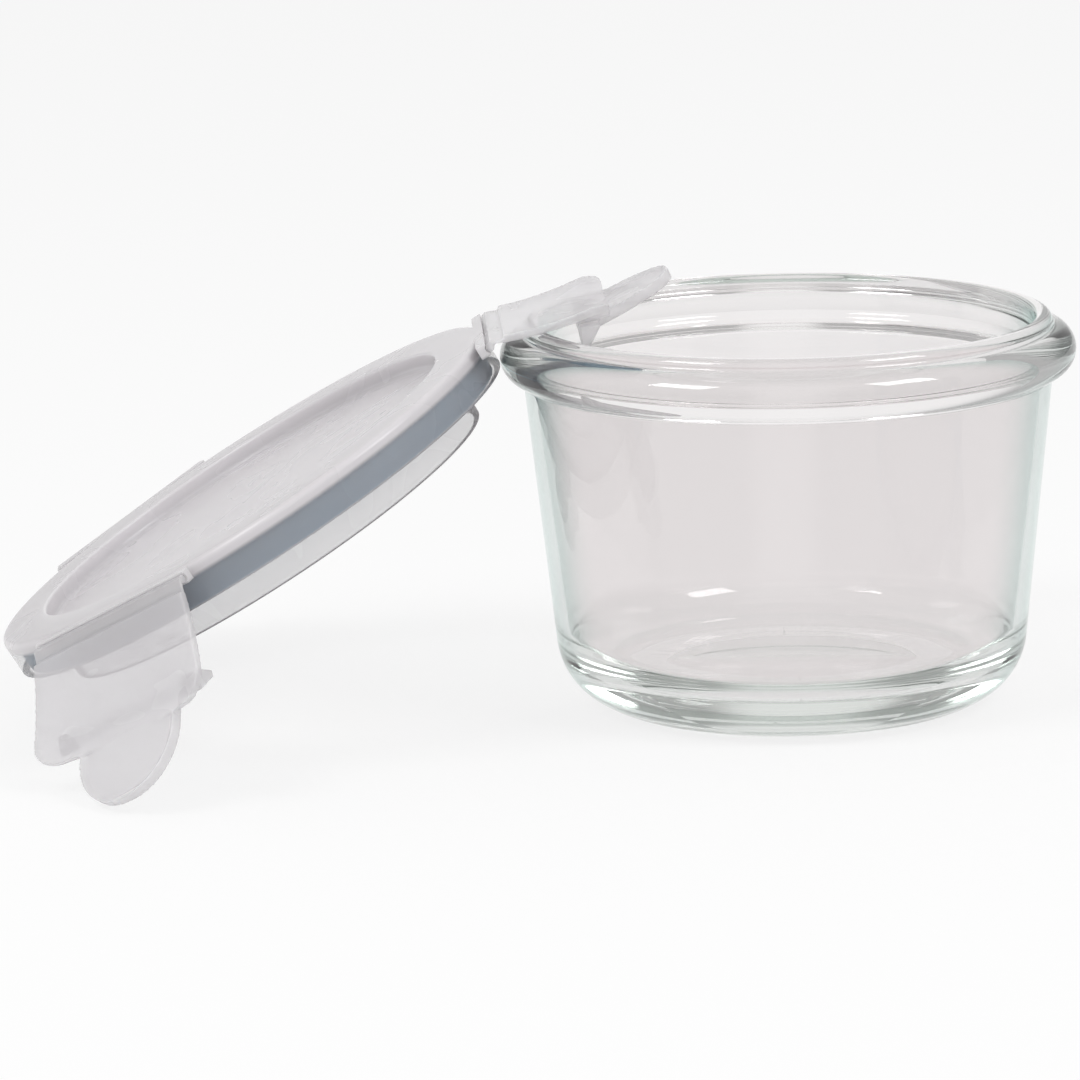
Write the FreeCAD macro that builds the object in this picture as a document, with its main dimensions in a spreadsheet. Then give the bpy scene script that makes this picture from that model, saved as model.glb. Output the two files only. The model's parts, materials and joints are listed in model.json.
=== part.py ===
import FreeCAD, Part
import math
import os
import re

import Sketcher

# A round pressed-glass food jar with its clip-down lid taken off. The lid leans on the jar's left side:
# two of its clips hang open to the ground and the third lies flipped over the jar's lip.
# The origin is the middle of the jar's foot, +Z is up, and the lid lies towards -X.

V = FreeCAD.Vector
Z_AXIS = V(0, 0, 1)
NEAR = 0.01

SIZES = {
    # Jar, in millimetres
    "jar_height": 70.7,
    "bead_reach": 4.15,
    "bead_height": 8.7,
    "bead_drop": 6.5,
    "neck_diameter": 95.7,
    "wall_taper": 6.2,
    "wall_thickness": 2.4,
    "lip_thickness": 3.4,
    "floor_thickness": 8.2,
    "heel_round": 12.8,
    "inside_round": 8.5,
    "lip_round": 1.6,
    "neck_round": 1.0,
    "throat_round": 6.0,
    "dish_diameter": 38.8,
    "dish_depth": 0.5,
    "punt_diameter": 46.0,
    "punt_depth": 1.0,
    # Lid
    "lid_height": 13.1,
    "rim_depth": 7.4,
    "rim_thickness": 2.3,
    "rim_wall": 1.6,
    "rim_play": 1.75,
    "rim_round": 1.2,
    "skirt_play": 1.35,
    "skirt_thickness": 1.4,
    "recess_depth": 3.3,
    "recess_round": 1.2,
    "panel_thickness": 1.4,
    "edge_round": 0.5,
    # Gasket
    "gasket_height": 4.2,
    "gasket_play": 0.15,
    "seal_width": 3.6,
    "seal_depth": 0.7,
    # Hinges between the lid and its clips
    "hinge_offset": 1.1,
    "hinge_width": 36.0,
    "hinge_round": 0.85,
    "hinge_play": 0.08,
    "ledge_setback": 0.5,
    # Clips
    "clip_width": 39.5,
    "catch_length": 5.7,
    "clip_thickness": 1.4,
    "clip_corner": 4.5,
    "inner_offset": 0.5,
    "web_length": 2.5,
    "web_thickness": 0.6,
    "web_overlap": 0.1,
    "wing_flare": 4.4,
    "catch_squeeze": 0.1,
    "catch_inset": 2.65,
    "catch_land": 1.2,
    "catch_depth": 2.8,
    "catch_setback": 1.8,
    "catch_play": 2.3,
    "tab_width": 22.6,
    "tab_length": 13.9,
    "tab_fullness": 0.3,
    "tab_angle": 21.0,
    "tab_overlap": 0.5,
    "tab_root": 2.0,
    "tab_rim_width": 1.3,
    "tab_rim_height": 0.8,
    # Pose of the lid against the jar
    "front_angle": 32.4,
    "back_angle": 39.5,
    "lip_clearance": 0.3875,
    "lid_offset": -8.0,
    "lid_twist": 2.0,
    "rest_drop": 0.4,
    "rest_gap": 0.3,
    "lean_gap": 0.0,
}

doc = FreeCAD.newDocument("StorageJar")
sheet = doc.addObject("Spreadsheet::Sheet", "Sizes")
for row, (name, number) in enumerate(SIZES.items(), start=1):
    sheet.set("A%d" % row, name)
    sheet.set("B%d" % row, str(number))
    sheet.setAlias("B%d" % row, name)
doc.recompute()


def bound(text):
    """Return an expression in which each size's name points at its cell in the sheet."""
    return re.sub(r"[a-z]+(?:_[a-z]+)+", lambda found: "Sizes." + found.group(0), text)


def size(text):
    """Return the number that an expression on the sizes gives now."""
    result = sheet.evalExpression(bound(text))
    return float(getattr(result, "Value", result))


def drive(thing, field, text):
    """Bind one property of an object to an expression on the sizes."""
    thing.setExpression(field, bound(text))


# Lengths that several pieces share, as expressions on the sizes.
BEAD_MIDDLE = "(jar_height - bead_drop)"
HEEL_OUT = "(neck_diameter / 2 - wall_taper)"
SKIRT_OUT = "(neck_diameter / 2 - lip_thickness - skirt_play)"
SKIRT_IN = "(neck_diameter / 2 - lip_thickness - skirt_play - skirt_thickness)"
WALL_IN = "(neck_diameter / 2 + rim_play)"
WALL_OUT = "(neck_diameter / 2 + rim_play + rim_wall)"
CEILING = "(lid_height - rim_thickness)"
HINGE_REACH = "(neck_diameter / 2 + rim_play + rim_wall + hinge_offset)"
HINGE_LEVEL = "(lid_height - rim_thickness / 2)"
CATCH_START = "(rim_thickness / 2 + gasket_height + bead_drop + bead_height / 2 - catch_squeeze)"
CLIP_LENGTH = "(%s + catch_length)" % CATCH_START
CATCH_WIDTH = "(clip_width - 2 * catch_inset)"
TAB_ROUND = "(tab_width / 2 + tab_fullness)"


def bulge(half_chord, rise):
    """Return the radius, as an expression, of an arc from its half chord and its rise."""
    return "((%s)^2 + (%s)^2) / (2 * (%s))" % (half_chord, rise, rise)


def arc_between(start, end, radius, side):
    """Return the shorter arc between two points, bulging to the left (1) or the right (-1) of the chord."""
    chord = end - start
    half = chord.Length / 2
    normal = V(-chord.y, chord.x, 0).normalize() * side
    depth = radius - math.sqrt(max(radius ** 2 - half ** 2, 0))
    return Part.Arc(start, (start + end) / 2 + normal * depth, end)


def pin(sketch, edge, end, axis, text):
    """Hold one coordinate of an edge's end at an expression."""
    value = size(text)
    if abs(value) < NEAR:
        own_axis = -2 if axis == "X" else -1
        sketch.addConstraint(Sketcher.Constraint("PointOnObject", edge, end, own_axis))
        return
    index = sketch.addConstraint(Sketcher.Constraint("Distance" + axis, edge, end, value))
    drive(sketch, "Constraints[%d]" % index, text)


def draw(sketch, corners, arcs=None):
    """Draw a closed outline. Each corner is a pair of expressions, and arcs gives (radius, side) by edge."""
    arcs = arcs or {}
    points = [V(size(x), size(y), 0) for x, y in corners]
    starts = []
    for edge, start in enumerate(points):
        end = points[(edge + 1) % len(points)]
        if edge in arcs:
            radius, side = arcs[edge]
            sketch.addGeometry(arc_between(start, end, size(radius), side))
        else:
            sketch.addGeometry(Part.LineSegment(start, end))
        near = (sketch.getPoint(edge, 1) - start).Length < (sketch.getPoint(edge, 2) - start).Length
        starts.append(1 if near else 2)
    for edge, (x, y) in enumerate(corners):
        before = edge - 1 if edge else len(corners) - 1
        last_end = 3 - starts[before]
        sketch.addConstraint(Sketcher.Constraint("Coincident", before, last_end, edge, starts[edge]))
        pin(sketch, edge, starts[edge], "X", x)
        pin(sketch, edge, starts[edge], "Y", y)
    for edge, (radius, side) in arcs.items():
        index = sketch.addConstraint(Sketcher.Constraint("Radius", edge, size(radius)))
        drive(sketch, "Constraints[%d]" % index, radius)


def origin_part(body, role):
    """Return one of a body's own origin planes or axes."""
    return next(item for item in body.Origin.OriginFeatures if item.Role == role)


def body_sketch(body, name, plane):
    """Start a sketch on one of a body's origin planes."""
    sketch = body.newObject("Sketcher::SketchObject", name)
    sketch.AttachmentSupport = [(origin_part(body, plane), "")]
    sketch.MapMode = "FlatFace"
    return sketch


def revolved(name, corners, arcs=None):
    """Make a body that is one outline, given as radius and height, turned about Z."""
    body = doc.addObject("PartDesign::Body", name)
    body.Label = name
    sketch = body_sketch(body, name + "_outline", "XZ_Plane")
    draw(sketch, corners, arcs)
    turned = body.newObject("PartDesign::Revolution", name + "_turned")
    turned.Profile = sketch
    turned.ReferenceAxis = (sketch, ["V_Axis"])
    turned.Angle = 360
    doc.recompute()
    return body


def round_rings(body, rings, radius):
    """Fillet the circular edges of a turned body that lie at each radius and height."""
    base = body.Tip
    names = []
    for ring_radius, height in rings:
        for number, edge in enumerate(base.Shape.Edges, start=1):
            if edge.Degenerated or not isinstance(edge.Curve, Part.Circle):
                continue
            curve = edge.Curve
            if abs(curve.Radius - size(ring_radius)) < NEAR and abs(curve.Center.z - size(height)) < NEAR:
                names.append("Edge%d" % number)
    fillet = body.newObject("PartDesign::Fillet", body.Name + "_round")
    fillet.Base = (base, names)
    fillet.Radius = size(radius)
    drive(fillet, "Radius", radius)
    doc.recompute()


def make_jar():
    """The glass: a tapered wall on a heavy foot, a half-round bead and a plain lip above it."""
    under_bead = BEAD_MIDDLE + " - bead_height / 2"
    over_bead = BEAD_MIDDLE + " + bead_height / 2"
    neck = "neck_diameter / 2"
    throat = "neck_diameter / 2 - lip_thickness"
    inner_foot = HEEL_OUT + " - wall_thickness + wall_taper * floor_thickness / (%s)" % under_bead
    corners = [
        (HEEL_OUT, "0"),
        (neck, under_bead),
        (neck, over_bead),
        (neck, "jar_height"),
        (throat, "jar_height"),
        (throat, BEAD_MIDDLE),
        ("neck_diameter / 2 - wall_thickness", under_bead),
        (inner_foot, "floor_thickness"),
        ("dish_diameter / 2", "floor_thickness"),
        ("0", "floor_thickness - dish_depth"),
        ("0", "punt_depth"),
        ("punt_diameter / 2", "0"),
    ]
    arcs = {
        1: (bulge("bead_height / 2", "bead_reach"), -1),
        8: (bulge("dish_diameter / 2", "dish_depth"), 1),
        10: (bulge("punt_diameter / 2", "punt_depth"), 1),
    }
    jar = revolved("jar", corners, arcs)
    round_rings(jar, [(inner_foot, "floor_thickness")], "inside_round")
    round_rings(jar, [(HEEL_OUT, "0")], "heel_round")
    round_rings(jar, [(neck, under_bead), (neck, over_bead)], "neck_round")
    round_rings(jar, [(throat, BEAD_MIDDLE)], "throat_round")
    round_rings(jar, [("neck_diameter / 2 - wall_thickness", under_bead)], "throat_round")
    round_rings(jar, [(neck, "jar_height"), (throat, "jar_height")], "lip_round")
    return jar


def make_lid():
    """The lid: a sunk panel, a rim with a gasket channel, a skirt, and a ledge for each clip's hinge."""
    rim_foot = "lid_height - rim_depth"
    recess_floor = "lid_height - recess_depth"
    corners = [
        ("0", "lid_height - recess_depth - panel_thickness"),
        (SKIRT_IN, "lid_height - recess_depth - panel_thickness"),
        (SKIRT_IN, "0"),
        (SKIRT_OUT, "0"),
        (SKIRT_OUT, CEILING),
        (WALL_IN, CEILING),
        (WALL_IN, rim_foot),
        (WALL_OUT, rim_foot),
        (WALL_OUT, "lid_height"),
        (SKIRT_IN, "lid_height"),
        (SKIRT_IN, recess_floor),
        ("0", recess_floor),
    ]
    lid = revolved("lid", corners)
    round_rings(lid, [(WALL_OUT, "lid_height")], "rim_round")
    round_rings(lid, [(SKIRT_IN, recess_floor)], "recess_round")
    round_rings(lid, [(SKIRT_IN, "0"), (SKIRT_OUT, "0"), (SKIRT_IN, "lid_height")], "edge_round")
    round_rings(lid, [(WALL_IN, rim_foot), (WALL_OUT, rim_foot)], "edge_round")

    ledge_sketch = body_sketch(lid, "ledge_outline", "XY_Plane")
    drive(ledge_sketch, "AttachmentOffset.Base.z", CEILING)
    face = HINGE_REACH + " - ledge_setback"
    side = "hinge_width / 2"
    draw(ledge_sketch, [(SKIRT_OUT, "-" + side), (face, "-" + side), (face, side), (SKIRT_OUT, side)])
    ledge = lid.newObject("PartDesign::Pad", "ledge")
    ledge.Profile = ledge_sketch
    drive(ledge, "Length", "rim_thickness")
    doc.recompute()

    groove_sketch = body_sketch(lid, "hinge_groove_outline", "XZ_Plane")
    groove_round = "hinge_round + hinge_play"
    centre = V(size(HINGE_REACH), size(HINGE_LEVEL), 0)
    circle = groove_sketch.addGeometry(Part.Circle(centre, Z_AXIS, size(groove_round)))
    pin(groove_sketch, circle, 3, "X", HINGE_REACH)
    pin(groove_sketch, circle, 3, "Y", HINGE_LEVEL)
    index = groove_sketch.addConstraint(Sketcher.Constraint("Radius", circle, size(groove_round)))
    drive(groove_sketch, "Constraints[%d]" % index, groove_round)
    groove = lid.newObject("PartDesign::Pocket", "hinge_groove")
    groove.Profile = groove_sketch
    groove.Midplane = True
    drive(groove, "Length", "hinge_width * 2")
    doc.recompute()

    pattern = lid.newObject("PartDesign::PolarPattern", "three_hinges")
    pattern.Originals = [ledge, groove]
    pattern.Axis = (origin_part(lid, "Z_Axis"), [""])
    pattern.Angle = 360
    pattern.Occurrences = 3
    lid.Tip = pattern
    doc.recompute()
    return lid


def make_gasket():
    """The soft ring in the lid's channel, with a shallow groove where the jar's lip presses in."""
    low = CEILING + " - gasket_height"
    inner = SKIRT_OUT + " + gasket_play"
    outer = WALL_IN + " - gasket_play"
    middle = "(neck_diameter / 2 - lip_thickness / 2)"
    corners = [
        (inner, CEILING),
        (inner, low),
        (middle + " - seal_width / 2", low),
        (middle + " + seal_width / 2", low),
        (outer, low),
        (outer, CEILING),
    ]
    gasket = revolved("gasket", corners, {2: (bulge("seal_width / 2", "seal_depth"), 1)})
    round_rings(gasket, [(inner, low), (outer, low)], "edge_round")
    return gasket


def loose_sketch(name, rotation, offset, corners, arcs=None):
    """A sketch of its own, for a clip's extrusions and lofts, at a height that an expression gives."""
    sketch = doc.addObject("Sketcher::SketchObject", name)
    sketch.Placement = FreeCAD.Placement(V(0, 0, 0), rotation)
    if offset:
        axis, text = offset
        drive(sketch, "Placement.Base." + axis, text)
    draw(sketch, corners, arcs)
    return sketch


def extruded(name, sketch, forward, backward="0"):
    """Extrude a sketch along its own normal, by expressions."""
    block = doc.addObject("Part::Extrusion", name)
    block.Base = sketch
    block.DirMode = "Normal"
    block.Solid = True
    drive(block, "LengthFwd", forward)
    if backward != "0":
        drive(block, "LengthRev", backward)
    return block


def boolean(kind, name, base, tool):
    """Join two shapes with Part::Cut or Part::Common."""
    result = doc.addObject(kind, name)
    result.Base = base
    result.Tool = tool
    return result


FLAT = FreeCAD.Rotation()
ACROSS = FreeCAD.Rotation(V(1, 0, 0), 90)
ALONG = FreeCAD.Rotation(V(0, 1, 0), V(0, 0, 1), V(1, 0, 0), "XYZ")


def under_face(name, level):
    """The space under one face of a clip, flat at the hinge and with its wings turned out at the far edge."""
    depth = "-%s / 2" % CLIP_LENGTH
    half = "(clip_width / 2 + clip_thickness)"
    flat = [("-" + half, depth), (half, depth), (half, level), ("-" + half, level)]
    lifted = level + " + wing_flare"
    turned_out = [("-" + half, depth), (half, depth), (half, lifted), ("-" + half, lifted)]
    flare = {2: (bulge(half, "wing_flare"), 1)}
    near = loose_sketch(name + "_near", ACROSS, ("y", "web_length"), flat)
    far = loose_sketch(name + "_far", ACROSS, ("y", CLIP_LENGTH), turned_out, flare)
    loft = doc.addObject("Part::Loft", name)
    loft.Sections = [near, far]
    loft.Solid = True
    loft.Ruled = True
    return loft


def make_clip(name):
    """One snap clip lying flat: hinge along X, tab towards +Y, outer face up.

    A round bar turns in the lid's groove. A thin web leads to the plate, whose wings turn outwards. The catch
    under it follows the jar's round, and the pull tab stands off at an angle inside a raised rim.
    """
    half_hinge = "(hinge_width / 2 - hinge_play)"
    bar = doc.addObject("Part::Cylinder", name + "_bar")
    drive(bar, "Radius", "hinge_round")
    drive(bar, "Height", "2 * " + half_hinge)
    bar.Placement.Rotation = FreeCAD.Rotation(V(0, 1, 0), 90)
    drive(bar, "Placement.Base.x", "-" + half_hinge)

    web = doc.addObject("Part::Box", name + "_web")
    drive(web, "Length", "2 * " + half_hinge)
    drive(web, "Width", "web_length + web_overlap")
    drive(web, "Height", "web_thickness")
    drive(web, "Placement.Base.x", "-" + half_hinge)
    drive(web, "Placement.Base.z", "inner_offset")

    inner_space = under_face(name + "_inner_space", "inner_offset")
    outer_space = under_face(name + "_outer_space", "inner_offset + clip_thickness")

    plate_outline = loose_sketch(name + "_plate_outline", FLAT, None, [
        ("-" + half_hinge, "web_length"),
        (half_hinge, "web_length"),
        ("clip_width / 2", CLIP_LENGTH + " - clip_corner"),
        ("clip_width / 2 - clip_corner", CLIP_LENGTH),
        ("-(clip_width / 2 - clip_corner)", CLIP_LENGTH),
        ("-clip_width / 2", CLIP_LENGTH + " - clip_corner"),
    ], {2: ("clip_corner", -1), 4: ("clip_corner", -1)})
    plate_block = extruded(name + "_plate_block", plate_outline, CLIP_LENGTH + " / 2", CLIP_LENGTH + " / 2")
    solid_plate = boolean("Part::Common", name + "_solid_plate", plate_block, outer_space)
    plate = boolean("Part::Cut", name + "_plate", solid_plate, inner_space)

    above_wings = "wing_flare + 2 * clip_thickness"
    catch_outline = loose_sketch(name + "_catch_outline", ALONG, ("x", "-%s / 2" % CATCH_WIDTH), [
        (CATCH_START, above_wings),
        (CATCH_START, "-catch_depth"),
        (CATCH_START + " + catch_land", "-catch_depth"),
        (CLIP_LENGTH + " - catch_setback", "inner_offset"),
        (CLIP_LENGTH + " - catch_setback", above_wings),
    ])
    catch_block = extruded(name + "_catch_block", catch_outline, CATCH_WIDTH)
    catch_raw = boolean("Part::Common", name + "_catch_raw", catch_block, outer_space)
    jar_round = doc.addObject("Part::Cylinder", name + "_jar_round")
    drive(jar_round, "Radius", "neck_diameter / 2 + catch_play")
    drive(jar_round, "Height", CLIP_LENGTH + " * 2")
    jar_round.Placement.Rotation = FreeCAD.Rotation(V(1, 0, 0), -90)
    drive(jar_round, "Placement.Base.z", "-" + HINGE_REACH)
    catch = boolean("Part::Cut", name + "_catch", catch_raw, jar_round)

    shoulder = "(tab_length - %s + sqrt(%s^2 - (tab_width / 2)^2))" % (TAB_ROUND, TAB_ROUND)
    tab_outline = loose_sketch(name + "_tab_outline", FLAT, ("z", "inner_offset"), [
        ("-tab_width / 2", "-tab_root"),
        ("tab_width / 2", "-tab_root"),
        ("tab_width / 2", shoulder),
        ("-tab_width / 2", shoulder),
    ], {2: (TAB_ROUND, -1)})
    tab_block = extruded(name + "_tab_block", tab_outline, "clip_thickness + tab_rim_height")
    inset = "(tab_width / 2 - tab_rim_width)"
    inset_round = "(%s - tab_rim_width)" % TAB_ROUND
    inset_shoulder = "(tab_length - %s + sqrt(%s^2 - %s^2))" % (TAB_ROUND, inset_round, inset)
    dish_outline = loose_sketch(name + "_tab_dish_outline", FLAT, ("z", "inner_offset + clip_thickness"), [
        ("-" + inset, "-2 * tab_root"),
        (inset, "-2 * tab_root"),
        (inset, inset_shoulder),
        ("-" + inset, inset_shoulder),
    ], {2: (inset_round, -1)})
    dish = extruded(name + "_tab_dish", dish_outline, "2 * tab_rim_height")
    tab = boolean("Part::Cut", name + "_tab", tab_block, dish)
    tab.Placement.Rotation = FreeCAD.Rotation(V(1, 0, 0), size("tab_angle"))
    drive(tab, "Placement.Base.y", CLIP_LENGTH + " - tab_overlap")

    clip = doc.addObject("Part::MultiFuse", name)
    clip.Label = name
    clip.Shapes = [bar, web, plate, catch, tab]
    clip.Refine = True
    doc.recompute()
    return clip


# Each hanging clip's place round the lid, in degrees, and how far it stands open.
HANGING_CLIPS = {"clip_front": (-120, "front_angle"), "clip_back": (120, "back_angle")}


def clip_in_lid(azimuth, opening):
    """Place a clip on its ledge, turned out by its opening from straight down, in the lid's own frame."""
    turn = math.radians(azimuth)
    swing = math.radians(opening)
    out = V(math.cos(turn), math.sin(turn), 0)
    along = V(math.sin(turn), -math.cos(turn), 0)
    down = out * math.sin(swing) - Z_AXIS * math.cos(swing)
    face = out * math.cos(swing) + Z_AXIS * math.sin(swing)
    hinge = out * size(HINGE_REACH) + Z_AXIS * size(HINGE_LEVEL)
    return FreeCAD.Placement(hinge, FreeCAD.Rotation(along, down, face, "XYZ"))


def lowest_of_tab(clip_place):
    """Return the height of the lowest point of a clip's rounded tab."""
    tab_turn = FreeCAD.Rotation(V(1, 0, 0), size("tab_angle"))
    tab_place = clip_place * FreeCAD.Placement(V(0, size(CLIP_LENGTH + " - tab_overlap"), 0), tab_turn)
    middle = tab_place * V(0, size("tab_length - " + TAB_ROUND), size("inner_offset"))
    across = tab_place.Rotation * V(1, 0, 0)
    along = tab_place.Rotation * V(0, 1, 0)
    return middle.z - size(TAB_ROUND) * math.hypot(across.z, along.z)


def lid_turned(lean):
    """The lid leaning up towards the jar, at the height where its hanging tabs just clear the ground."""
    tilt = FreeCAD.Rotation(V(0, 1, 0), -lean) * FreeCAD.Rotation(Z_AXIS, size("lid_twist"))
    turned = FreeCAD.Placement(V(0, 0, 0), tilt)
    clips = [clip_in_lid(azimuth, size(opening)) for azimuth, opening in HANGING_CLIPS.values()]
    low = min(lowest_of_tab(turned * clip) for clip in clips)
    return FreeCAD.Placement(V(0, size("lid_offset"), size("rest_gap") - low), turned.Rotation)


def rim_point(place, angle):
    """A point of the rim's lower outer edge, at an angle round the lid from its highest point."""
    radius = size(WALL_OUT)
    angle -= math.radians(size("lid_twist"))
    return place * V(radius * math.cos(angle), radius * math.sin(angle), size("lid_height - rim_depth"))


def lid_pose():
    """Lean the lid until its rim meets the bead a little below its middle, and push it up to the bead.

    Returns the lid's place and its lean in degrees.
    """
    wanted = size(BEAD_MIDDLE + " - rest_drop")
    flat, steep = 0.0, 60.0
    for _ in range(40):
        lean = (flat + steep) / 2
        if rim_point(lid_turned(lean), 0).z < wanted:
            flat = lean
        else:
            steep = lean
    place = lid_turned(lean)
    bead_round = size(bulge("bead_height / 2", "bead_reach"))
    bead_centre = size("neck_diameter / 2 + bead_reach") - bead_round
    shifts = []
    for step in range(-30, 31):
        point = rim_point(place, math.radians(step))
        rise = point.z - size(BEAD_MIDDLE)
        if abs(rise) >= bead_round:
            continue
        reach = bead_centre + math.sqrt(bead_round ** 2 - rise ** 2) + size("lean_gap")
        shifts.append(-math.sqrt(reach ** 2 - point.y ** 2) - point.x)
    place.Base.x = min(shifts)
    return place, lean


def opening_over_lip(place, lean):
    """How far the flipped clip opens so that its plate just clears the outer round of the jar's lip."""
    hinge = (place * clip_in_lid(0, 90)).Base
    round_radius = size("neck_diameter / 2 - lip_round")
    run = -math.sqrt(round_radius ** 2 - hinge.y ** 2) - hinge.x
    rise = size("jar_height - lip_round") - hinge.z
    lift = size("lip_round + lip_clearance - inner_offset")
    slope = math.atan2(rise, run) + math.asin(lift / math.hypot(run, rise))
    return 90 - lean + math.degrees(slope)


jar = make_jar()
lid = make_lid()
gasket = make_gasket()
leaning, lean = lid_pose()
lid.Placement = leaning
gasket.Placement = leaning
parts = [jar, lid, gasket]
# Each clip's place round the lid and its opening, in degrees
openings = {"clip_over_lip": (0, opening_over_lip(leaning, lean))}
for name, (azimuth, opening) in HANGING_CLIPS.items():
    openings[name] = (azimuth, size(opening))
for name, (azimuth, opening) in openings.items():
    clip = make_clip(name)
    clip.Placement = leaning * clip_in_lid(azimuth, opening)
    parts.append(clip)
doc.recompute()

failed = [item.Name for item in doc.Objects if "Invalid" in item.State or "Error" in item.State]
if failed:
    raise RuntimeError("These objects failed: " + ", ".join(failed))
for part in parts:
    if part.Shape.isNull() or not part.Shape.isValid():
        raise RuntimeError("The shape of %s isn't valid" % part.Label)

os.makedirs("parts", exist_ok=True)
for part in parts:
    part.Shape.exportStep("parts/%s.step" % part.Label)
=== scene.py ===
import json
import math

import bpy
from mathutils import Matrix, Vector


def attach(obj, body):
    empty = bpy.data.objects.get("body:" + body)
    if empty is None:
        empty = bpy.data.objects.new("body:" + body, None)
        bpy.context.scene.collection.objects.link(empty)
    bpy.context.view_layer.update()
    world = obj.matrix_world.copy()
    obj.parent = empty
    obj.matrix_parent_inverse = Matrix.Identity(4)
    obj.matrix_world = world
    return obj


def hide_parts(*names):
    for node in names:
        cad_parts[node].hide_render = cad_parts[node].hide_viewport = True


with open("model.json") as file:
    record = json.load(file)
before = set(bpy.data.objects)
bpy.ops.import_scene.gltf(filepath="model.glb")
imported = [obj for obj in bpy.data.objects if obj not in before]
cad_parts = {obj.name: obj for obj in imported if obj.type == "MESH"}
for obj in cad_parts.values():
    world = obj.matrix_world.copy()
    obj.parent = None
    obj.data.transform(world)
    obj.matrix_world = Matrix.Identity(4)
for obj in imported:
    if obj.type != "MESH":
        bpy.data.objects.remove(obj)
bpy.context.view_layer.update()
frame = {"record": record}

# A round pressed-glass jar with its translucent clip-down lid leaning against it.
# Sizes are in millimetres, and MM turns them into the scene's metres.

MM = 0.001
FULL_TURN = 2 * math.pi

# Jar
JAR_HEIGHT = 70.7
BEAD_RADIUS = 52.0
BEAD_HALF_HEIGHT = 4.35
BEAD_MIDDLE = JAR_HEIGHT - 6.5
NECK_RADIUS = 47.85
HEEL_RADIUS = 41.65
WALL_THICKNESS = 2.4
LIP_THICKNESS = 3.4
FLOOR_THICKNESS = 8.2
HEEL_ROUND = 12.8
INSIDE_ROUND = 8.5
LIP_ROUND = 1.6
NECK_ROUND = 1.0
THROAT_ROUND = 6.0
DISH_RADIUS = 19.4
DISH_DEPTH = 0.5
PUNT_RADIUS = 23.0
PUNT_DEPTH = 1.0

# Lid, measured in its own frame: its skirt stands on z = 0 and x points to the clip over the lip
LID_HEIGHT = 13.1
RIM_DEPTH = 7.4
RIM_THICKNESS = 2.3
RIM_ROUND = 1.2
WALL_OUT = 51.2
WALL_IN = 49.6
SKIRT_OUT = 43.1
SKIRT_IN = 41.7
RECESS_FLOOR = 9.8
RECESS_ROUND = 1.2
PANEL_UNDERSIDE = 8.4
EDGE_ROUND = 0.5

# Seal ring in the lid's channel
SEAL_HEIGHT = 4.2
SEAL_PLAY = 0.15
SEAL_GROOVE_HALF = 1.8
SEAL_GROOVE_DEPTH = 0.7
SEAL_LIP_WIDTH = 0.8
SEAL_LIP_DEPTH = 0.9

# Hinges and clips
HINGE_REACH = 52.3
HINGE_LEVEL = LID_HEIGHT - RIM_THICKNESS / 2
HINGE_HALF = 18.0
GROOVE_RADIUS = 0.93
BAR_RADIUS = 0.8
LEDGE_REACH = 51.8
CLIP_HALF = 19.75
CLIP_LENGTH = 21.8
CLIP_THICKNESS = 1.4
CLIP_CORNER = 4.5
INNER_OFFSET = 0.5
WEB_LENGTH = 2.5
WEB_THICKNESS = 0.6
WING_FLARE = 4.4
WING_BEND = 1.5
CATCH_START = 16.1
CATCH_LAND = 1.2
CATCH_END = CLIP_LENGTH - 1.8
CATCH_DEPTH = 2.8
CATCH_HALF = 17.1
CATCH_CURVE = 50.15
TAB_HALF = 11.3
TAB_LENGTH = 13.9
TAB_ROOT = 2.0
TAB_ANGLE = 21.0
TAB_RIM_WIDTH = 1.3
TAB_RIM_HEIGHT = 0.8
FULLY_OPEN = 110.0

# How finely the pieces are made
JAR_STEPS = 240
LID_STEPS = 216
MERGE_GAP = 0.002
PLATE_COLUMNS = 24
PLATE_ROWS = 8
CLIP_VOXEL = 0.22

# Clips about the lid, in degrees from the clip over the lip
AZIMUTHS = {"clip_over_lip": 0, "clip_front": -120, "clip_back": 120}

# Colours
GLASS = (0.895, 0.872, 0.874, 1)
# Painted edge shade: the darker green that the glass's base colour turns to where a wall is seen edge on
GLASS_EDGE_SHADE = (0.34, 0.52, 0.48, 1)
GLASS_DEPTH = (0.70, 0.77, 0.73, 1)
LID_MILK = (0.66, 0.635, 0.65, 1)
LID_MILK_DEEP = (0.63, 0.61, 0.63, 1)
CLIP_MILK = (0.75, 0.725, 0.745, 1)
CLIP_MILK_DEEP = (0.71, 0.69, 0.715, 1)
SILICONE = (0.11, 0.25, 0.36, 1)
SILICONE_LIGHT = (0.15, 0.29, 0.40, 1)
FLOOR_GREY = (0.88, 0.88, 0.88, 1)
WHITE = (1, 1, 1, 1)

# Studio
SKY_ON_THE_PIECES = 0.62
SIDE_WALL_DIMMING = 0.5
FLOOR_GLOW = 0.8
LAMP_POWER = 5.0
LAMP_TARGET = (0, 0, 0.05)
LENS_MM = 175.17
CAMERA_PLACE = (-0.04552, -0.936, 0.22854)
CAMERA_DOWN = 11.97
CAMERA_ROLL = -0.025


# ---------------------------------------------------------------- outlines

def arc(centre, radius, start, end, count):
    """Points of an arc from one angle to another, in degrees."""
    points = []
    for step in range(count + 1):
        angle = math.radians(start + (end - start) * step / count)
        points.append((centre[0] + radius * math.cos(angle), centre[1] + radius * math.sin(angle)))
    return points


def shallow(start, end, count=10):
    """Points between the middle and the edge of a shallow dish centred on the axis."""
    points = []
    for step in range(1, count):
        radius = start[0] + (end[0] - start[0]) * step / count
        share = (radius ** 2 - start[0] ** 2) / (end[0] ** 2 - start[0] ** 2)
        points.append((radius, start[1] + (end[1] - start[1]) * share))
    return points


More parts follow.
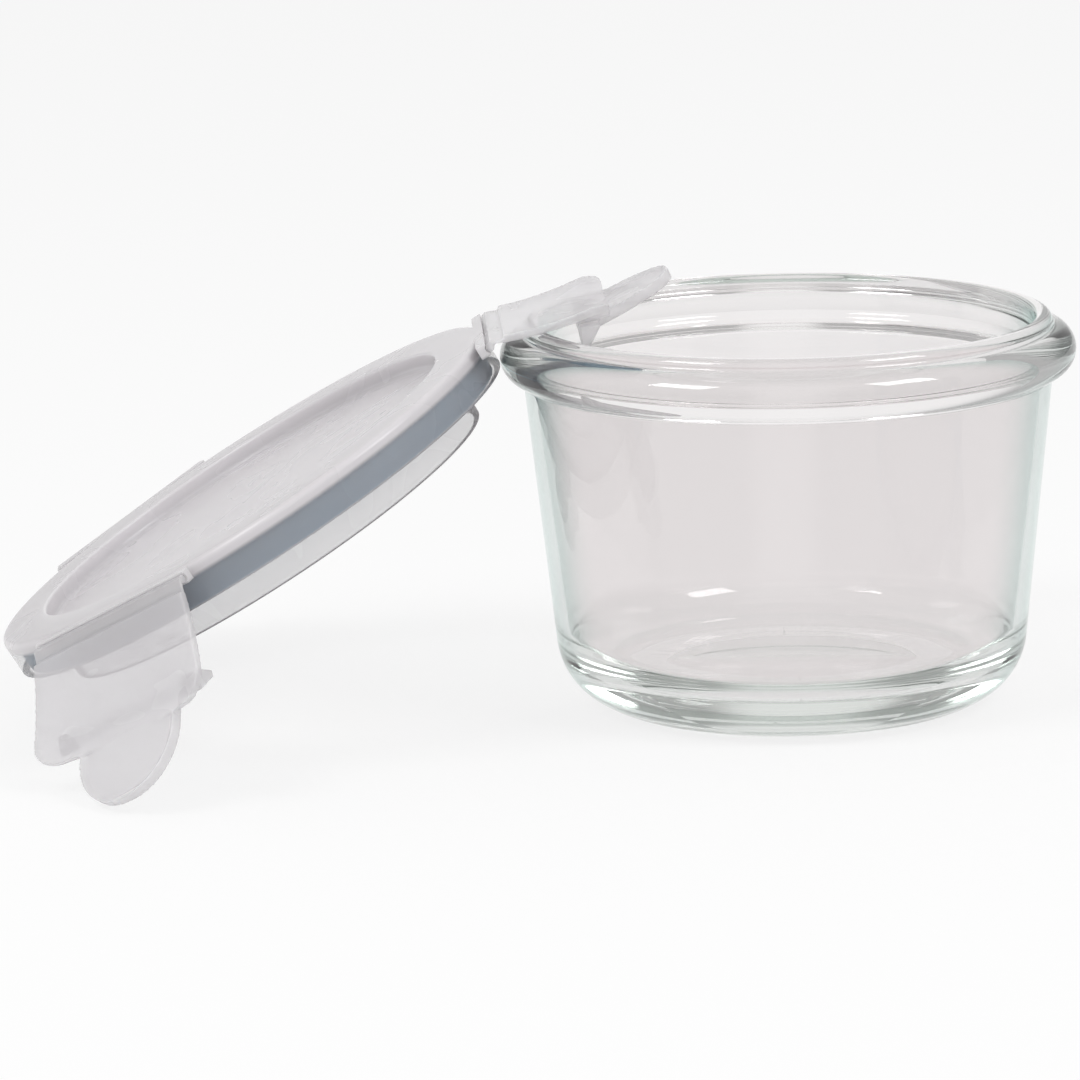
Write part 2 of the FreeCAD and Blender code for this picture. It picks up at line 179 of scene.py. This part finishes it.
def rounded(corners, degrees_per_step=6.0):
    """Turn corners (x, z) and (x, z, round) into an outline whose rounded corners are arcs."""
    outline = []
    last = len(corners) - 1
    for index, corner in enumerate(corners):
        here = Vector(corner[:2])
        if len(corner) < 3 or index in (0, last):
            outline.append(tuple(here))
            continue
        back = (Vector(corners[index - 1][:2]) - here).normalized()
        on = (Vector(corners[index + 1][:2]) - here).normalized()
        half_angle = back.angle(on) / 2
        reach = corner[2] / math.tan(half_angle)
        centre = here + (back + on).normalized() * corner[2] / math.sin(half_angle)
        start = here + back * reach - centre
        end = here + on * reach - centre
        sweep = start.angle(end)
        count = max(3, round(math.degrees(sweep) / degrees_per_step))
        for step in range(count + 1):
            share = step / count
            spoke = start * math.sin((1 - share) * sweep) + end * math.sin(share * sweep)
            outline.append(tuple(centre + spoke / math.sin(sweep)))
    return outline


# ---------------------------------------------------------------- modelling

def clear_selection():
    """Leave nothing selected, so that an operator acts on the new piece alone."""
    bpy.ops.object.select_all(action="DESELECT")


def edit(piece):
    """Open one piece in edit mode with everything in it selected."""
    clear_selection()
    piece.select_set(True)
    bpy.context.view_layer.objects.active = piece
    bpy.ops.object.mode_set(mode="EDIT")
    bpy.ops.mesh.select_all(action="SELECT")


def leave():
    """Go back to object mode."""
    bpy.ops.object.mode_set(mode="OBJECT")


def settle(piece):
    """Put a piece's place, turn and scale into its mesh."""
    clear_selection()
    piece.select_set(True)
    bpy.context.view_layer.objects.active = piece
    bpy.ops.object.transform_apply(location=True, rotation=True, scale=True)
    return piece


def pick(piece, kind, wanted):
    """In edit mode, select just the vertices, edges or faces whose middle the test wants."""
    bpy.ops.mesh.select_mode(type=kind)
    bpy.ops.mesh.select_all(action="DESELECT")
    leave()
    mesh = piece.data
    if kind == "VERT":
        for vertex in mesh.vertices:
            vertex.select = wanted(vertex.co / MM)
    elif kind == "EDGE":
        for line in mesh.edges:
            first, second = (mesh.vertices[number].co / MM for number in line.vertices)
            line.select = wanted((first + second) / 2, second - first)
    else:
        for face in mesh.polygons:
            face.select = wanted(face.center / MM, face.normal)
    bpy.ops.object.mode_set(mode="EDIT")


def finish_modifier(piece, kind, **settings):
    """Add one modifier to a piece and apply it."""
    clear_selection()
    piece.select_set(True)
    bpy.context.view_layer.objects.active = piece
    modifier = piece.modifiers.new(kind.lower(), kind)
    for name, value in settings.items():
        setattr(modifier, name, value)
    bpy.ops.object.modifier_apply(modifier=modifier.name)


def spun(name, outline, steps):
    """Draw an outline of (radius, height) point by point and spin it about the axis into a closed shell."""
    clear_selection()
    first = outline[0]
    bpy.ops.mesh.primitive_plane_add(size=MM, location=(first[0] * MM, 0, first[1] * MM))
    piece = bpy.context.object
    piece.name = name
    edit(piece)
    bpy.ops.mesh.merge(type="CENTER")
    for here, there in zip(outline, outline[1:]):
        shift = ((there[0] - here[0]) * MM, 0, (there[1] - here[1]) * MM)
        bpy.ops.mesh.extrude_region_move(TRANSFORM_OT_translate={"value": shift})
    bpy.ops.mesh.select_all(action="SELECT")
    bpy.ops.mesh.spin(steps=steps, angle=FULL_TURN, center=(0, 0, 0), axis=(0, 0, 1))
    bpy.ops.mesh.select_all(action="SELECT")
    bpy.ops.mesh.remove_doubles(threshold=MERGE_GAP * MM)
    bpy.ops.mesh.normals_make_consistent(inside=False)
    leave()
    return settle(piece)


def block(name, low, high):
    """A block between two corners, in millimetres."""
    clear_selection()
    low, high = Vector(low), Vector(high)
    bpy.ops.mesh.primitive_cube_add(size=1, location=(low + high) / 2 * MM)
    piece = bpy.context.object
    piece.name = name
    piece.scale = (high - low) * MM
    return settle(piece)


def rod(name, radius, length, middle, turn, sides=64):
    """A round rod of the given length, turned from upright by Euler angles."""
    clear_selection()
    bpy.ops.mesh.primitive_cylinder_add(vertices=sides, radius=radius * MM, depth=length * MM,
                                        location=Vector(middle) * MM, rotation=turn)
    piece = bpy.context.object
    piece.name = name
    return settle(piece)


def combine(piece, tool, how):
    """Join, cut or meet two closed pieces, and remove the tool."""
    finish_modifier(piece, "BOOLEAN", object=tool, operation=how, solver="EXACT")
    bpy.data.objects.remove(tool, do_unlink=True)


def smooth_by_angle(piece, degrees):
    """Shade smooth except across edges sharper than the angle."""
    clear_selection()
    piece.select_set(True)
    bpy.context.view_layer.objects.active = piece
    bpy.ops.object.shade_smooth_by_angle(angle=math.radians(degrees))


def move_to(piece, place):
    """Move a piece modelled in its own frame to its place."""
    piece.matrix_world = place @ piece.matrix_world
    return settle(piece)


# ---------------------------------------------------------------- places

JOINTS = {joint["child"]: joint for joint in frame["record"]["behaviour"]["joints"]}
HINGES = {node: Vector(joint["pos_m"]) for node, joint in JOINTS.items()}


def lid_place():
    """The lid's frame, from the places of its three hinges, which lie on a circle about its axis."""
    middle = sum(HINGES.values(), Vector()) / len(HINGES)
    along = (HINGES["clip_over_lip"] - middle).normalized()
    across = (HINGES["clip_back"] - HINGES["clip_front"]).normalized()
    up = along.cross(across).normalized()
    across = up.cross(along)
    place = Matrix((along, across, up)).transposed().to_4x4()
    place.translation = middle - up * HINGE_LEVEL * MM
    return place


LID_PLACE = lid_place()


def clip_place(azimuth, opening):
    """A clip's frame on its hinge: x along the hinge, y towards the tab, z out of the outer face."""
    turn = math.radians(azimuth)
    swing = math.radians(opening)
    outward = Vector((math.cos(turn), math.sin(turn), 0))
    upward = Vector((0, 0, 1))
    along = Vector((math.sin(turn), -math.cos(turn), 0))
    down = outward * math.sin(swing) - upward * math.cos(swing)
    face = outward * math.cos(swing) + upward * math.sin(swing)
    place = Matrix((along, down, face)).transposed().to_4x4()
    place.translation = (outward * HINGE_REACH + upward * HINGE_LEVEL) * MM
    return LID_PLACE @ place


# ---------------------------------------------------------------- pieces

def glass_jar():
    """Tapered wall on a heavy foot, rounded bead, plain lip, and a round dish in the floor."""
    under_bead = BEAD_MIDDLE - BEAD_HALF_HEIGHT
    over_bead = BEAD_MIDDLE + BEAD_HALF_HEIGHT
    rise = BEAD_RADIUS - NECK_RADIUS
    bead_round = (BEAD_HALF_HEIGHT ** 2 + rise ** 2) / (2 * rise)
    bead_centre = (BEAD_RADIUS - bead_round, BEAD_MIDDLE)
    reach = 75.0
    bead = arc(bead_centre, bead_round, -reach, reach, 28)
    throat = NECK_RADIUS - LIP_THICKNESS
    inner_foot = (HEEL_RADIUS - WALL_THICKNESS
                  + (NECK_RADIUS - HEEL_RADIUS) * FLOOR_THICKNESS / under_bead)
    dish_low = FLOOR_THICKNESS - DISH_DEPTH
    corners = [
        (0, PUNT_DEPTH),
        *shallow((0, PUNT_DEPTH), (PUNT_RADIUS, 0)),
        (PUNT_RADIUS, 0, 1.0),
        (HEEL_RADIUS, 0, HEEL_ROUND),
        (NECK_RADIUS, under_bead, NECK_ROUND),
        *bead,
        (NECK_RADIUS, over_bead, NECK_ROUND),
        (NECK_RADIUS, JAR_HEIGHT, LIP_ROUND),
        (throat, JAR_HEIGHT, LIP_ROUND),
        (throat, BEAD_MIDDLE, THROAT_ROUND),
        (NECK_RADIUS - WALL_THICKNESS, under_bead, THROAT_ROUND),
        (inner_foot, FLOOR_THICKNESS, INSIDE_ROUND),
        (DISH_RADIUS, FLOOR_THICKNESS, 1.0),
        *shallow((DISH_RADIUS, FLOOR_THICKNESS), (0, dish_low)),
        (0, dish_low),
    ]
    piece = spun("jar_glass", rounded(corners), JAR_STEPS)
    smooth_by_angle(piece, 60)
    return piece


def lid_shell():
    """The lid: sunk panel, rim, outer wall, inner skirt, and a grooved ledge for each clip."""
    rim_foot = LID_HEIGHT - RIM_DEPTH
    ceiling = LID_HEIGHT - RIM_THICKNESS
    corners = [
        (0, PANEL_UNDERSIDE),
        (SKIRT_IN, PANEL_UNDERSIDE, EDGE_ROUND),
        (SKIRT_IN, 0, EDGE_ROUND),
        (SKIRT_OUT, 0, EDGE_ROUND),
        (SKIRT_OUT, ceiling, EDGE_ROUND / 2),
        (WALL_IN, ceiling, EDGE_ROUND / 2),
        (WALL_IN, rim_foot, EDGE_ROUND),
        (WALL_OUT, rim_foot, EDGE_ROUND),
        (WALL_OUT, LID_HEIGHT, RIM_ROUND),
        (SKIRT_IN, LID_HEIGHT, EDGE_ROUND),
        (SKIRT_IN, RECESS_FLOOR, RECESS_ROUND),
        (0, RECESS_FLOOR),
    ]
    piece = spun("lid_shell", rounded(corners, 10.0), LID_STEPS)
    for number in range(3):
        ledge = block("ledge", (WALL_IN + 0.4, -HINGE_HALF, ceiling), (LEDGE_REACH, HINGE_HALF, LID_HEIGHT))
        groove = rod("groove", GROOVE_RADIUS, 2 * HINGE_HALF + 2, (HINGE_REACH, 0, HINGE_LEVEL),
                     (math.radians(90), 0, 0))
        combine(ledge, groove, "DIFFERENCE")
        turn = Matrix.Rotation(number * FULL_TURN / 3, 4, "Z")
        move_to(ledge, turn)
        combine(piece, ledge, "UNION")
    smooth_by_angle(piece, 35)
    return move_to(piece, LID_PLACE)


def seal_ring():
    """The soft ring in the lid's channel, grooved where the jar's lip presses in."""
    top = LID_HEIGHT - RIM_THICKNESS
    low = top - SEAL_HEIGHT
    inner = SKIRT_OUT + SEAL_PLAY
    outer = WALL_IN - SEAL_PLAY
    middle = NECK_RADIUS - LIP_THICKNESS / 2
    corners = [
        (middle, top),
        (inner, top, EDGE_ROUND / 2),
        (inner, low, EDGE_ROUND),
        (middle - SEAL_GROOVE_HALF, low, EDGE_ROUND),
        (middle, low + SEAL_GROOVE_DEPTH, 1.5),
        (middle + SEAL_GROOVE_HALF, low, EDGE_ROUND),
        (outer - SEAL_LIP_WIDTH, low),
        (outer - SEAL_LIP_WIDTH, low - SEAL_LIP_DEPTH, EDGE_ROUND / 2),
        (outer, low - SEAL_LIP_DEPTH, EDGE_ROUND / 2),
        (outer, top, EDGE_ROUND / 2),
        (middle, top),
    ]
    piece = spun("seal_ring", rounded(corners, 15.0), LID_STEPS)
    smooth_by_angle(piece, 40)
    return move_to(piece, LID_PLACE)


def clip_plate():
    """The clip's plate: flat at the hinge, its wings turned out at the far edge, with round far corners."""
    half = CLIP_HALF + CLIP_THICKNESS
    clear_selection()
    bpy.ops.mesh.primitive_grid_add(x_subdivisions=PLATE_COLUMNS, y_subdivisions=PLATE_ROWS, size=1)
    skin = bpy.context.object
    near, far = WEB_LENGTH - 0.5, CLIP_LENGTH + 1.0
    skin.scale = (2 * half * MM, (far - near) * MM, 1)
    skin.location = (0, (near + far) / 2 * MM, INNER_OFFSET * MM)
    settle(skin)
    edit(skin)
    for column in range(PLATE_COLUMNS // 2):
        at = half * (1 - 2 * column / PLATE_COLUMNS)
        for row in range(1, PLATE_ROWS + 1):
            along = near + (far - near) * row / PLATE_ROWS
            share = max(0, (along - WEB_LENGTH) / (CLIP_LENGTH - WEB_LENGTH))
            lift = WING_FLARE * (at / half) ** 2 * share ** WING_BEND
            pick(skin, "VERT", lambda spot: abs(spot.y - along) < 0.1 and abs(abs(spot.x) - at) < 0.1)
            bpy.ops.transform.translate(value=(0, 0, lift * MM))
    leave()
    finish_modifier(skin, "SOLIDIFY", thickness=CLIP_THICKNESS * MM, offset=1, use_even_offset=True)

    deep = CLIP_LENGTH / 2
    outline = block("clip_plate", (-CLIP_HALF, WEB_LENGTH, -deep), (CLIP_HALF, CLIP_LENGTH, deep))
    edit(outline)
    pick(outline, "EDGE", lambda middle, run: middle.y > CLIP_LENGTH - 1 and abs(run.z) > 1)
    bpy.ops.mesh.bevel(offset=CLIP_CORNER * MM, segments=10, affect="EDGES")
    pick(outline, "VERT", lambda spot: spot.y < WEB_LENGTH + 1)
    bpy.ops.transform.resize(value=(HINGE_HALF / CLIP_HALF, 1, 1))
    leave()
    combine(outline, skin, "INTERSECT")
    return outline


def clip_catch():
    """The catch under the plate, sloped at its far side and following the jar's round."""
    top = INNER_OFFSET + CLIP_THICKNESS / 2
    catch = block("clip_catch", (-CATCH_HALF, CATCH_START, -CATCH_DEPTH), (CATCH_HALF, CATCH_END, top))
    edit(catch)
    pick(catch, "VERT", lambda spot: spot.y > CATCH_START + 1 and spot.z < 0)
    slope = CATCH_END - CATCH_START - CATCH_LAND
    bpy.ops.transform.translate(value=(0, -slope * MM, 0))
    leave()
    round_of_jar = rod("round_of_jar", CATCH_CURVE, 2 * CLIP_LENGTH, (0, CLIP_LENGTH, -HINGE_REACH),
                       (math.radians(90), 0, 0), 256)
    combine(catch, round_of_jar, "DIFFERENCE")
    return catch


def clip_tab():
    """The pull tab: a round-ended tongue, dished inside a raised rim, standing off the plate."""
    top = INNER_OFFSET + CLIP_THICKNESS + TAB_RIM_HEIGHT
    tab = block("clip_tab", (-TAB_HALF, -TAB_ROOT, INNER_OFFSET), (TAB_HALF, TAB_LENGTH, top))
    edit(tab)
    pick(tab, "EDGE", lambda middle, run: middle.y > TAB_LENGTH - 1 and abs(run.z) > 1)
    bpy.ops.mesh.bevel(offset=(TAB_HALF - 0.4) * MM, segments=20, affect="EDGES")
    pick(tab, "FACE", lambda middle, normal: normal.z > 0.9)
    bpy.ops.mesh.inset(thickness=TAB_RIM_WIDTH * MM)
    bpy.ops.transform.translate(value=(0, 0, -TAB_RIM_HEIGHT * MM))
    leave()
    return move_to(tab, Matrix.Translation((0, (CLIP_LENGTH - 0.5) * MM, 0))
                   @ Matrix.Rotation(math.radians(TAB_ANGLE), 4, "X"))


def snap_clip():
    """One clip in its own frame, moulded in one piece with soft edges."""
    bar = rod("clip_bar", BAR_RADIUS, 2 * HINGE_HALF - 0.2, (0, 0, 0), (0, math.radians(90), 0), 48)
    web = block("clip_web", (-HINGE_HALF + 0.1, 0, INNER_OFFSET),
                (HINGE_HALF - 0.1, WEB_LENGTH + 0.3, INNER_OFFSET + WEB_THICKNESS))
    plate = clip_plate()
    for part in (bar, web, clip_catch(), clip_tab()):
        combine(plate, part, "UNION")
    finish_modifier(plate, "REMESH", mode="VOXEL", voxel_size=CLIP_VOXEL * MM, use_smooth_shade=True)
    finish_modifier(plate, "SMOOTH", factor=0.5, iterations=6)
    return plate


def copied(piece, name, place):
    """A copy of a piece with its own mesh, at its place."""
    twin = piece.copy()
    twin.data = piece.data.copy()
    twin.name = name
    bpy.context.collection.objects.link(twin)
    return move_to(twin, place)


# ---------------------------------------------------------------- finishes

class Signal:
    """A node's output. Sums and products of signals add their Math nodes."""

    def __init__(self, finish, socket):
        self.finish = finish
        self.socket = socket

    def math(self, operation, first, second):
        return self.finish.node("ShaderNodeMath", {"operation": operation}, {0: first, 1: second})

    def __add__(self, other):
        return self.math("ADD", self, other)

    def __radd__(self, other):
        return self.math("ADD", other, self)

    def __sub__(self, other):
        return self.math("SUBTRACT", self, other)

    def __rsub__(self, other):
        return self.math("SUBTRACT", other, self)

    def __mul__(self, other):
        return self.math("MULTIPLY", self, other)

    def __rmul__(self, other):
        return self.math("MULTIPLY", other, self)


class Finish:
    """The nodes of one material, or of the world."""

    def __init__(self, owner):
        owner.use_nodes = True
        self.owner = owner
        self.tree = owner.node_tree
        self.tree.nodes.clear()

    def node(self, kind, settings=None, inputs=None, output=0):
        made = self.tree.nodes.new(kind)
        for name, value in (settings or {}).items():
            if name == "stops":
                ramp = made.color_ramp
                for number, (position, colour) in enumerate(value):
                    stop = ramp.elements[number] if number < 2 else ramp.elements.new(position)
                    stop.position = position
                    stop.color = colour
            else:
                setattr(made, name, value)
        for socket, value in (inputs or {}).items():
            if isinstance(value, Signal):
                self.tree.links.new(value.socket, made.inputs[socket])
            else:
                made.inputs[socket].default_value = value
        return Signal(self, made.outputs[output]) if made.outputs else made

    def spot(self):
        """A point of the piece, in its object coordinates."""
        return self.node("ShaderNodeTexCoord", output="Object")

    def noise(self, scale, detail=2.0, roughness=0.5, distortion=0.0):
        return self.node("ShaderNodeTexNoise", None, {
            "Vector": self.spot(), "Scale": scale, "Detail": detail, "Roughness": roughness,
            "Distortion": distortion})

    def blend(self, share, first, second):
        """A colour between two colours."""
        return self.node("ShaderNodeMix", {"data_type": "RGBA"}, {0: share, 6: first, 7: second}, output=2)

    def vector(self, operation, first, second):
        """A vector operation on two vectors, whose result is a vector or, for a dot product, a number."""
        return self.node("ShaderNodeVectorMath", {"operation": operation}, {0: first, 1: second},
                         output="Value" if operation == "DOT_PRODUCT" else "Vector")

    def smoothstep(self, value, start, end):
        """0 before the start, 1 past the end, and smooth between them."""
        return self.node("ShaderNodeMapRange", {"interpolation_type": "SMOOTHSTEP"},
                         {"Value": value, "From Min": start, "From Max": end})

    def clamped_sum(self, first, second):
        """The sum of two numbers, no more than 1."""
        return self.node("ShaderNodeMath", {"operation": "ADD", "use_clamp": True}, {0: first, 1: second})

    def bump(self, height, strength, distance):
        return self.node("ShaderNodeBump", None,
                         {"Height": height, "Strength": strength, "Distance": distance})

    def close(self, **shaders):
        self.node("ShaderNodeOutputMaterial" if isinstance(self.owner, bpy.types.Material)
                  else "ShaderNodeOutputWorld", None, shaders)
        return self.owner


def clear_glass():
    """Pressed soda glass: clear with a slight press waviness, and a painted darker green shade towards the
    edges of its walls.

    The base colour darkens where a wall is seen edge on: painted edge shade in the green that light takes
    on as it runs far in the wall. The level faces of the floor and the lip stay clear.
    """
    finish = Finish(bpy.data.materials.new("clear_glass"))
    wave = finish.noise(42.0, 1.0)
    haze = finish.noise(22.0, 1.0)
    up = Vector((0, 0, 1))
    level = finish.vector("DOT_PRODUCT", finish.node("ShaderNodeTexCoord", output="Normal"), up)
    facing = finish.node("ShaderNodeLayerWeight", None, {"Blend": 0.5}, output="Facing")
    # Painted edge shade: the base colour turns darker green where a wall is seen at a grazing angle, but
    # not on level faces
    edge = finish.smoothstep(facing, 0.45, 0.95) * (1 - finish.smoothstep(level * level, 0.35, 0.8))
    surface = finish.node("ShaderNodeBsdfPrincipled", None, {
        "Base Color": finish.blend(edge, GLASS, GLASS_EDGE_SHADE),
        "Roughness": 0.01 + haze * 0.015, "IOR": 1.5,
        "Transmission Weight": 1.0, "Normal": finish.bump(wave, 0.1, 0.0006)})
    tint = finish.node("ShaderNodeVolumeAbsorption", None, {"Color": GLASS_DEPTH, "Density": 10.0})
    return finish.close(Surface=surface, Volume=tint)


def milky_plastic(name, pale, deep, haze, thick_haze=0.0):
    """Translucent moulded polypropylene with soft flow marks and a fine mould grain.

    The haze is how much of a face hides what lies behind it. The lid's faces over thick plastic are
    hazier: its top, its rim and what looks in towards its axis.
    """
    finish = Finish(bpy.data.materials.new(name))
    flow = finish.noise(30.0, 2.0, 0.6, 1.5)
    grain = finish.noise(2200.0, 0.0)
    up = LID_PLACE.to_3x3() @ Vector((0, 0, 1))
    normal = finish.node("ShaderNodeTexCoord", output="Normal")
    reach = finish.vector("SUBTRACT", finish.spot(), LID_PLACE.translation)
    top = finish.smoothstep(finish.vector("DOT_PRODUCT", normal, up), 0.5, 0.95)
    outward = finish.vector("DOT_PRODUCT", normal, reach)
    inward = finish.smoothstep(outward, -10 * MM, -35 * MM) * finish.smoothstep(outward, -47 * MM, -44 * MM)
    rim = finish.smoothstep(finish.vector("DOT_PRODUCT", reach, up), 10.3 * MM, 11.3 * MM)
    thick = finish.clamped_sum(top + inward, rim)
    surface = finish.node("ShaderNodeBsdfPrincipled", None, {
        "Base Color": finish.blend(flow, pale, deep),
        "Roughness": 0.22 + flow * 0.1, "IOR": 1.49,
        "Subsurface Weight": 0.7, "Subsurface Radius": (1.0, 1.0, 1.0), "Subsurface Scale": 4 * MM,
        "Alpha": haze + flow * 0.04 + thick * thick_haze,
        "Normal": finish.bump(grain * 0.2 + flow, 0.02, 0.0001)})
    return finish.close(Surface=surface)


def grey_blue_silicone():
    """Soft silicone with a satin skin and a dusting of lighter specks."""
    finish = Finish(bpy.data.materials.new("grey_blue_silicone"))
    cloud = finish.noise(60.0, 3.0, 0.6)
    grain = finish.noise(1800.0, 2.0)
    surface = finish.node("ShaderNodeBsdfPrincipled", None, {
        "Base Color": finish.blend(cloud, SILICONE, SILICONE_LIGHT),
        "Roughness": 0.42 + grain * 0.1, "IOR": 1.41, "Normal": finish.bump(grain, 0.15, 0.0001)})
    return finish.close(Surface=surface)


def ray(finish, kind):
    """1 for rays of one kind, else 0."""
    return finish.node("ShaderNodeLightPath", output=kind)


def seen_directly(finish):
    """1 for rays from the camera, from gloss and through glass, else 0."""
    gloss = ray(finish, "Is Camera Ray") + ray(finish, "Is Glossy Ray")
    return finish.clamped_sum(gloss, ray(finish, "Is Transmission Ray"))


def white_floor():
    """A white ground that keeps a soft shadow."""
    finish = Finish(bpy.data.materials.new("white_floor"))
    matt = finish.node("ShaderNodeBsdfDiffuse", None, {"Color": FLOOR_GREY})
    glow = finish.node("ShaderNodeEmission", None, {"Color": WHITE, "Strength": 1.0})
    return finish.close(Surface=finish.node(
        "ShaderNodeMixShader", None, {0: seen_directly(finish) * FLOOR_GLOW, 1: matt, 2: glow}))


# ---------------------------------------------------------------- the object

def dress(piece, name, body, slot, material, *nodes):
    """Name a piece, give it its finish and say what it rides on and stands for."""
    piece.name = name
    piece.data.name = name
    piece.data.materials.clear()
    piece.data.materials.append(material)
    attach(piece, body)
    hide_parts(*nodes)


lid_plastic = milky_plastic("lid_plastic", LID_MILK, LID_MILK_DEEP, 0.25, 0.71)
clip_plastic = milky_plastic("clip_plastic", CLIP_MILK, CLIP_MILK_DEEP, 0.5)
dress(glass_jar(), "jar_glass", "jar", "glass", clear_glass(), "jar")
dress(lid_shell(), "lid_shell", "jar", "lid_plastic", lid_plastic, "lid")
dress(seal_ring(), "seal_ring", "jar", "seal", grey_blue_silicone(), "gasket")

first_clip = snap_clip()
for node, azimuth in AZIMUTHS.items():
    opening = FULLY_OPEN - JOINTS[node]["range_deg"][1]
    clip = copied(first_clip, "snap_" + node, clip_place(azimuth, opening))
    dress(clip, "snap_" + node, node, "lid_plastic", clip_plastic, node)
bpy.data.objects.remove(first_clip, do_unlink=True)


# ---------------------------------------------------------------- floor, light and camera

clear_selection()
bpy.ops.mesh.primitive_plane_add(size=12, location=(0, 0, 0))
floor = bpy.context.object
floor.name = "floor"
floor.data.materials.append(white_floor())

sky = Finish(bpy.data.worlds.new("studio"))
bpy.context.scene.world = sky.owner
# An even sky needs no rays of its own, and the render is shorter without them.
sky.owner.cycles.sampling_method = "NONE"
# The studio's side walls are dimmer, which draws the edges of the glass.
way = sky.node("ShaderNodeTexCoord", output="Generated")
across = sky.node("ShaderNodeSeparateXYZ", None, {"Vector": way}, output="X")
sideways = sky.smoothstep(across * across, 0.01, 0.12)
plain = SKY_ON_THE_PIECES + seen_directly(sky) * (1 - SKY_ON_THE_PIECES)
dimmed = ray(sky, "Is Glossy Ray") * sideways * SIDE_WALL_DIMMING
sky.close(Surface=sky.node("ShaderNodeBackground", None, {"Color": WHITE, "Strength": plain - dimmed}))


def softbox(name, place, target, width, height, power):
    """A rectangular lamp facing a point."""
    lamp = bpy.data.lights.new(name, "AREA")
    lamp.shape = "RECTANGLE"
    lamp.size = width
    lamp.size_y = height
    lamp.energy = power
    holder = bpy.data.objects.new(name, lamp)
    bpy.context.collection.objects.link(holder)
    holder.location = place
    holder.rotation_euler = (Vector(target) - Vector(place)).to_track_quat("-Z", "Y").to_euler()


softbox("softbox_left", (-0.75, -0.55, 1.0), LAMP_TARGET, 0.5, 0.35, LAMP_POWER)
softbox("softbox_right", (0.75, -0.55, 1.0), LAMP_TARGET, 0.5, 0.35, LAMP_POWER)

lens = bpy.data.cameras.new("camera")
lens.lens = LENS_MM
lens.sensor_width = 36
camera = bpy.data.objects.new("camera", lens)
bpy.context.collection.objects.link(camera)
camera.matrix_world = (Matrix.Translation(CAMERA_PLACE)
                       @ Matrix.Rotation(math.radians(90 - CAMERA_DOWN), 4, "X")
                       @ Matrix.Rotation(CAMERA_ROLL, 4, "Z"))
scene = bpy.context.scene
scene.camera = camera
scene.view_settings.view_transform = "Standard"
# Light runs far inside the thick glass, so it may turn many times.
scene.cycles.max_bounces = 24
scene.cycles.diffuse_bounces = 2
scene.cycles.glossy_bounces = 18
scene.cycles.transmission_bounces = 24
scene.cycles.transparent_max_bounces = 24
